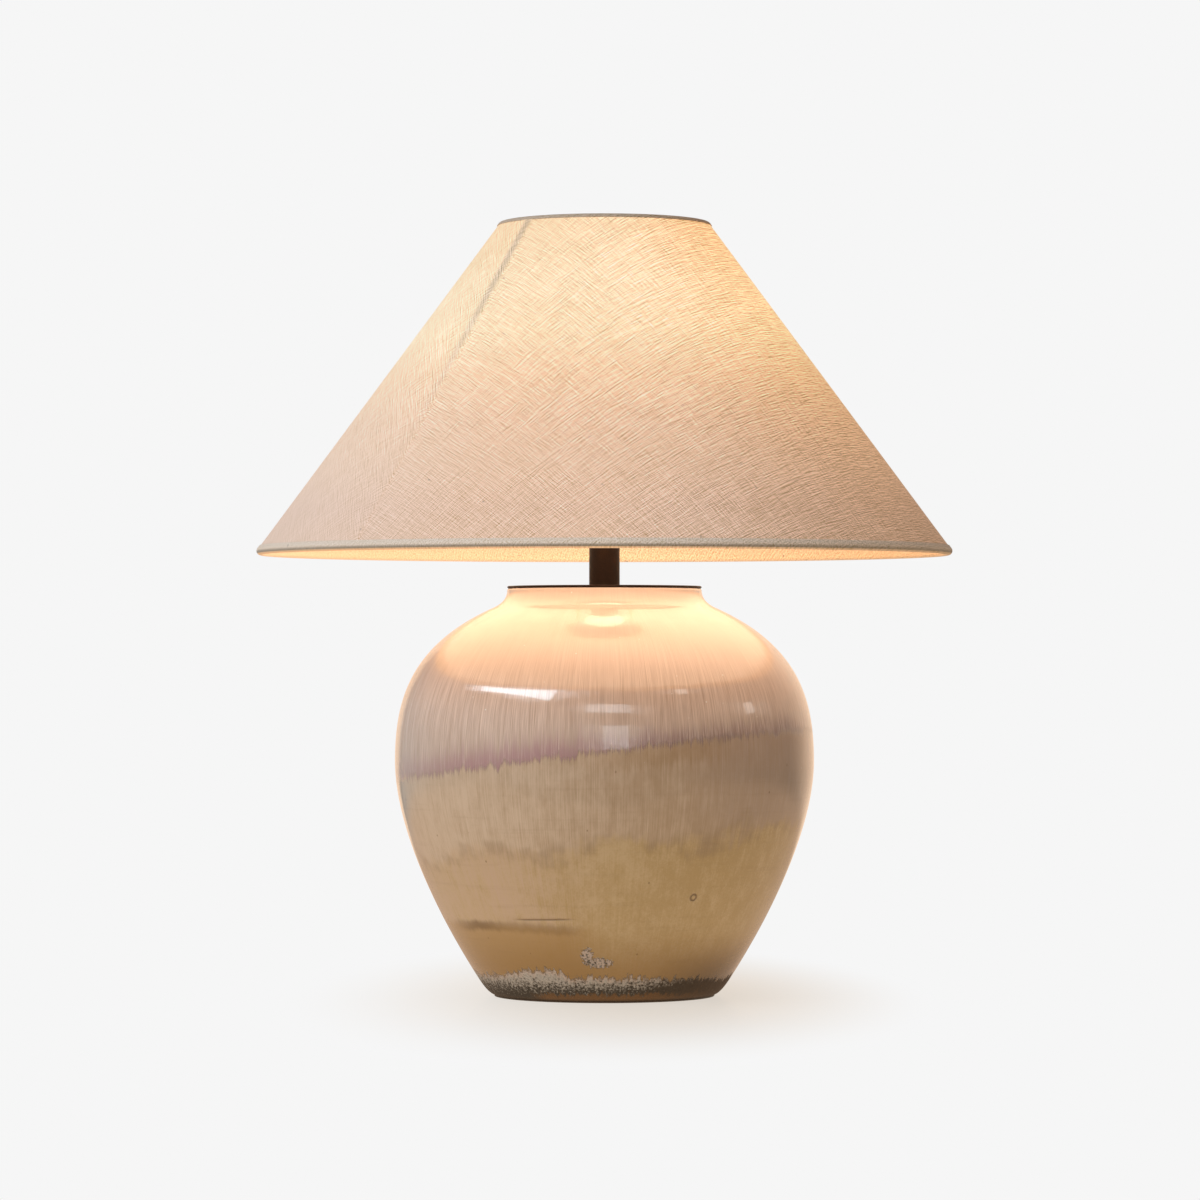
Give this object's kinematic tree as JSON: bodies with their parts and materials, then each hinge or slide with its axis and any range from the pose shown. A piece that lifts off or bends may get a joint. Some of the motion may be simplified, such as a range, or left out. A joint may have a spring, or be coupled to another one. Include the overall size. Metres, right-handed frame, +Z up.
{
  "type": "ceramic table lamp",
  "caption": "Round-shouldered glazed ceramic table lamp with a wide conical fabric shade on a harp, a knob switch and a screw-in bulb.",
  "frame": {"origin": "on the table, under the centre of the vase's foot", "axes": "+Z up along the lamp's axis, -Y towards the front with the switch knob, +Y towards the cord outlet"},
  "size_m": [0.5003, 0.5002, 0.5576],
  "materials": {
    "vase_glaze": "gloss, streaked brown and mauve",
    "felt": "felt",
    "black_rubber": "matte",
    "zinc_steel": "satin",
    "brass": "satin",
    "dark_bronze": "satin dark bronze",
    "insulating_paper": "matte",
    "brown_plastic": "moulded",
    "aluminium": "satin",
    "black_plastic": "moulded",
    "opal_glass": "opal",
    "black_glass": "gloss",
    "filament": "matte",
    "linen": "woven",
    "liner": "matte",
    "hem_tape": "woven",
    "white_metal": "satin white"
  },
  "bodies": {
    "base": {"vase": "vase_glaze", "foot_felt": "felt", "cord_bushing": "black_rubber", "rubber_washer": "black_rubber", "steel_washer": "zinc_steel", "lower_nut": "zinc_steel", "threaded_pipe": "brass", "vase_cap": "dark_bronze", "neck_tube": "dark_bronze", "harp_saddle": "brass", "saddle_nut": "brass", "harp_bow": "brass", "socket_cap": "dark_bronze", "socket_shell": "dark_bronze", "socket_paper": "insulating_paper", "switch_block": "brown_plastic", "terminal_screws": "brass", "socket_screw_shell": "aluminium", "socket_contact": "brass"},
    "switch": {"switch_knob": "black_plastic"},
    "bulb": {"bulb_glass": "opal_glass", "bulb_base": "aluminium", "bulb_insulator": "black_glass", "bulb_tip": "zinc_steel", "bulb_stem": "opal_glass", "bulb_filaments": "filament"},
    "sleeve_left": {"harp_sleeve_left": "brass"},
    "sleeve_right": {"harp_sleeve_right": "brass"},
    "shade": {"harp_stud": "brass", "shade_fabric": "linen", "shade_liner": "liner", "shade_top_hem": "hem_tape", "shade_bottom_hem": "hem_tape", "shade_spider": "white_metal", "shade_bottom_ring": "white_metal"},
    "finial": {"finial": "brass"}
  },
  "joints": [
    {"name": "knob_turn", "type": "hinge", "parent": "base", "child": "switch", "pos_m": [0, -0.025, 0.3667], "axis": [0, -1, 0], "continuous": true},
    {"name": "bulb_turn", "type": "hinge", "parent": "base", "child": "bulb", "pos_m": [0, 0, 0.4], "axis": [0, 0, 1], "continuous": true},
    {"name": "sleeve_left_slide", "type": "slide", "parent": "base", "child": "sleeve_left", "axis": [0, 0, 1], "range_m": [0, 0.012]},
    {"name": "sleeve_right_slide", "type": "slide", "parent": "base", "child": "sleeve_right", "axis": [0, 0, 1], "range_m": [0, 0.012]},
    {"name": "shade_swivel", "type": "hinge", "parent": "base", "child": "shade", "pos_m": [0, 0, 0.5371], "axis": [0, 0, 1], "continuous": true},
    {"name": "finial_turn", "type": "hinge", "parent": "shade", "child": "finial", "pos_m": [0, 0, 0.545], "axis": [0, 0, 1], "continuous": true}
  ]
}
